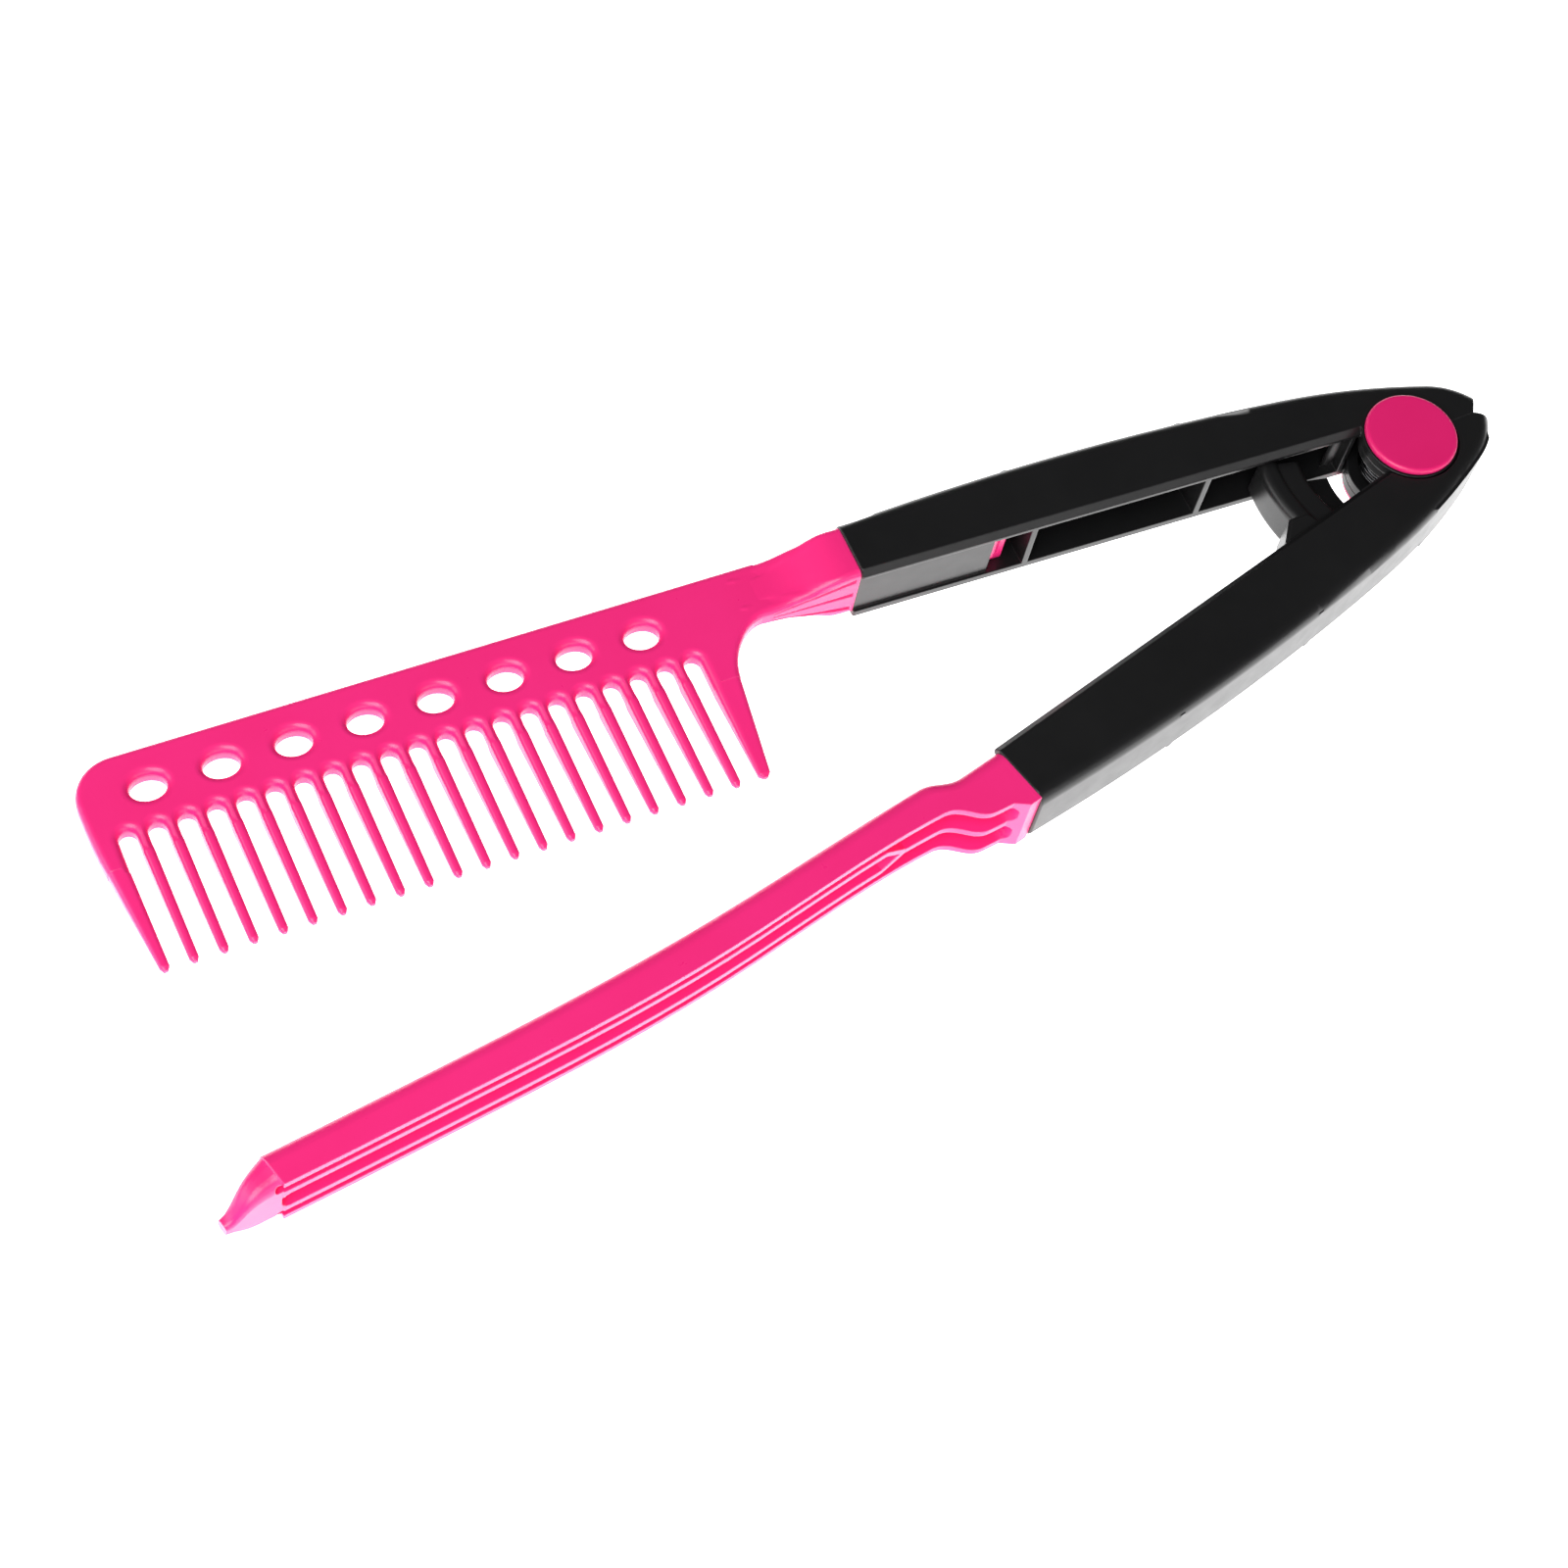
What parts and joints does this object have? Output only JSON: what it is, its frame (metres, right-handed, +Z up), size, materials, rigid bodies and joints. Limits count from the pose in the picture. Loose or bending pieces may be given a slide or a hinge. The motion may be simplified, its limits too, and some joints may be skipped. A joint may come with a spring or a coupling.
{
  "type": "hinged straightening comb",
  "caption": "V-shaped hair straightening comb: a wide-tooth comb jaw and a slotted guide jaw on two sprung channel handles hinged at the tail.",
  "frame": {"origin": "on the hinge axis, at the flat underside of the lower hinge cap, which is the height it lies on a table at", "axes": "+Z up along the hinge axis; the comb arm lies along -X with its teeth towards -Y; the guide arm opens 15.6 degrees towards -Y"},
  "size_m": [0.2402, 0.0775, 0.015],
  "materials": {
    "pink_plastic": "moulded, semi-gloss hot pink",
    "cap_plastic": "moulded, satin pink, a little darker",
    "black_plastic": "moulded, semi-gloss black",
    "steel": "turned",
    "spring_steel": "drawn wire",
    "bush_nylon": "black nylon"
  },
  "bodies": {
    "comb_arm": {"comb": "pink_plastic", "comb_handle": "black_plastic", "hinge_pin": "steel", "push_nut": "steel", "spring_bush": "bush_nylon", "torsion_spring": "spring_steel", "cap_top": "cap_plastic", "cap_bottom": "cap_plastic"},
    "guide_arm": {"guide_jaw": "pink_plastic", "guide_handle": "black_plastic"}
  },
  "joints": [
    {"name": "jaw_hinge", "type": "hinge", "parent": "comb_arm", "child": "guide_arm", "pos_m": [0, 0, 0.0075], "axis": [0, 0, -1], "range_deg": [0, 14], "stiffness_Nm_per_rad": 0.16, "springref_deg": -57.3, "deforming": ["torsion_spring"]}
  ]
}
